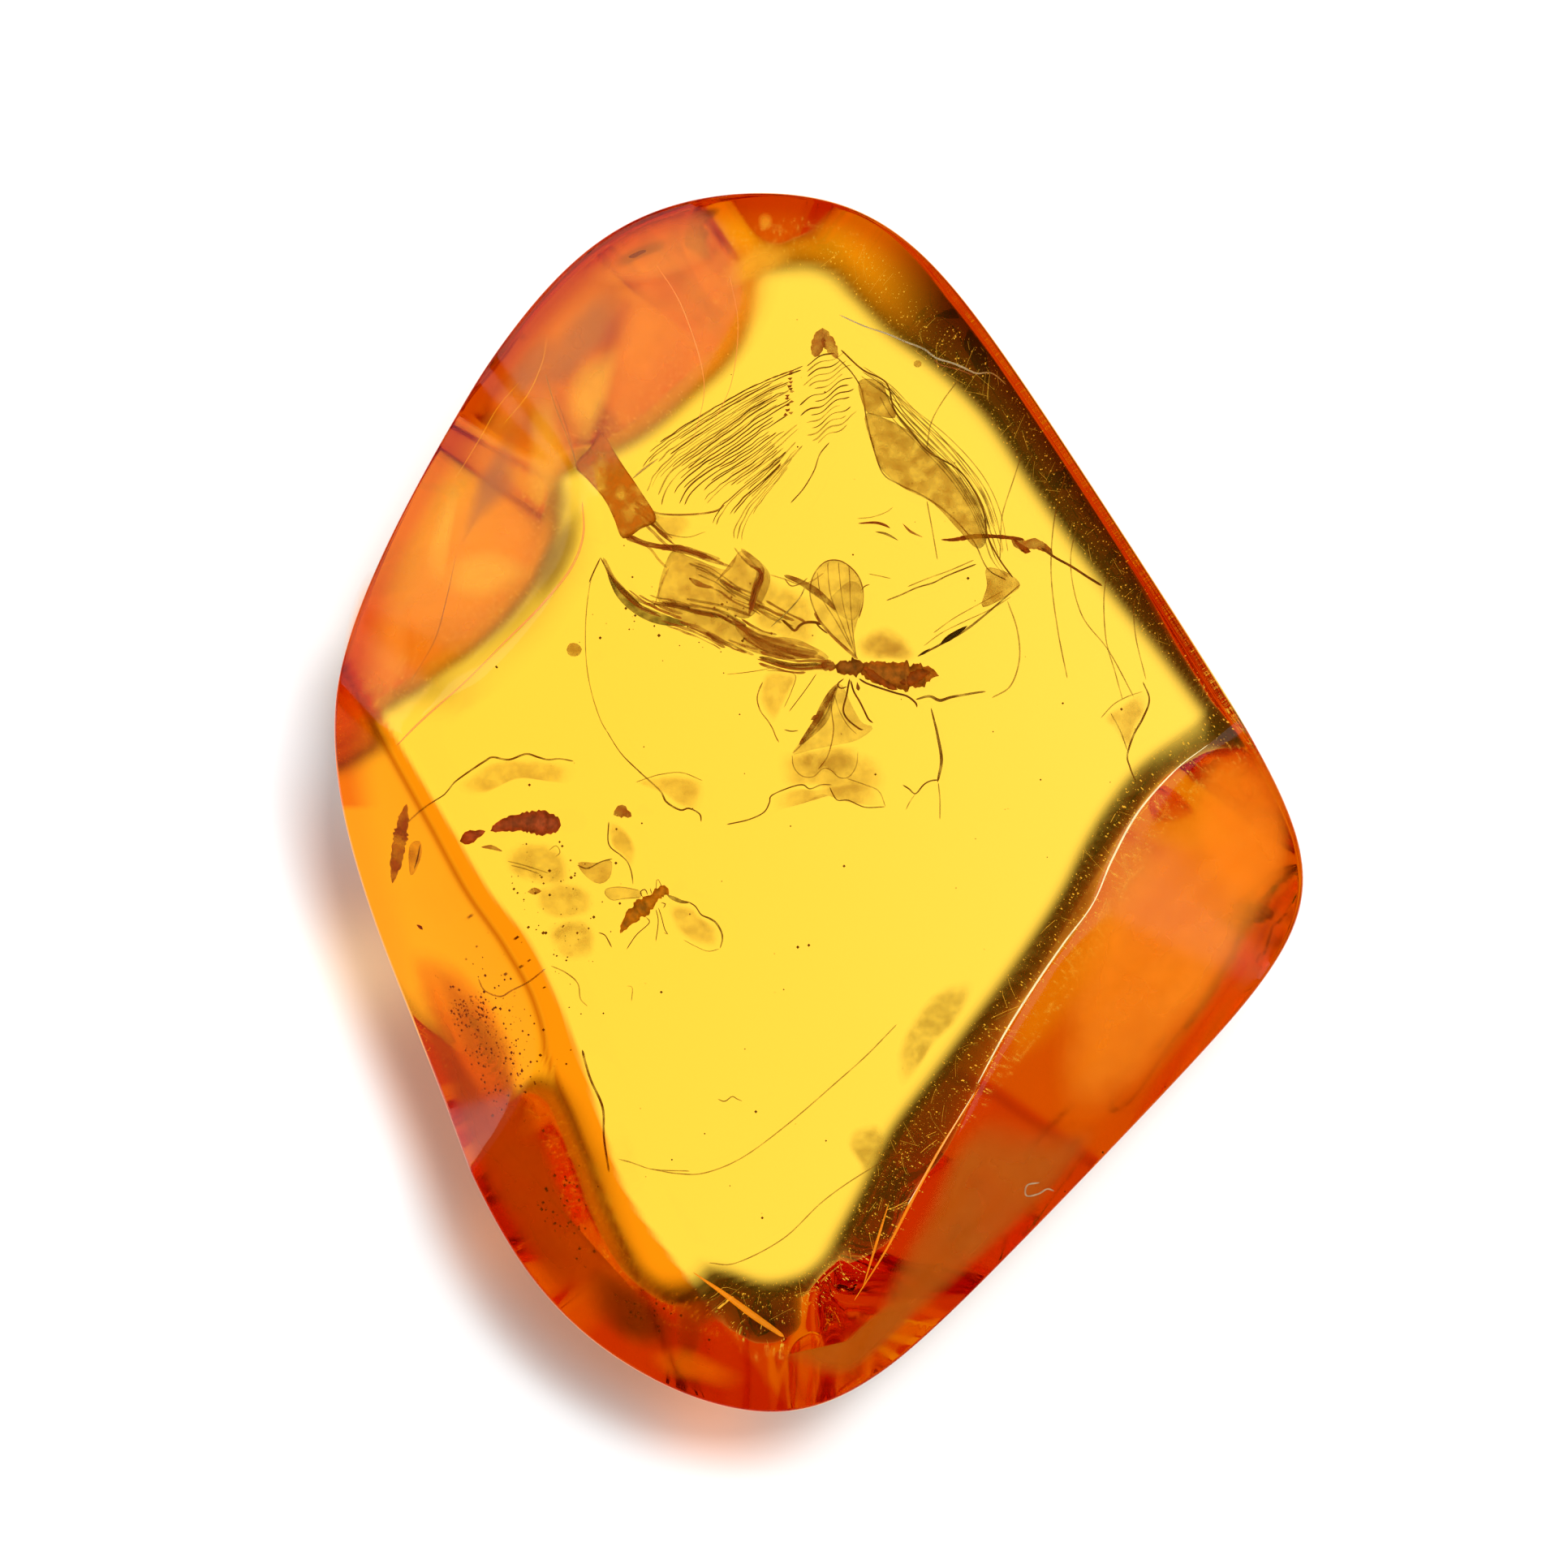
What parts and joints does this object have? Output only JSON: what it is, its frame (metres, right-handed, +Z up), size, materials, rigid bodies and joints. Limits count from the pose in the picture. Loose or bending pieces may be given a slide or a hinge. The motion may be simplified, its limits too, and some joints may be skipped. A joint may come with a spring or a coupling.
{
  "type": "insect in amber",
  "caption": "Polished piece of clear honey-coloured amber with bevelled sides and a flat underside; the fossil insects, plant scraps and cracks sealed in it are in the visual model.",
  "frame": {"origin": "on the table, under the middle of the stone's outline", "axes": "+Y along the stone's length, +X across it, +Z up out of the wide polished top face"},
  "size_m": [0.0281, 0.0353, 0.0103],
  "materials": {
    "amber": "polished, clear honey-yellow to orange resin"
  },
  "bodies": {
    "root": {"amber_stone": "amber"}
  },
  "joints": []
}
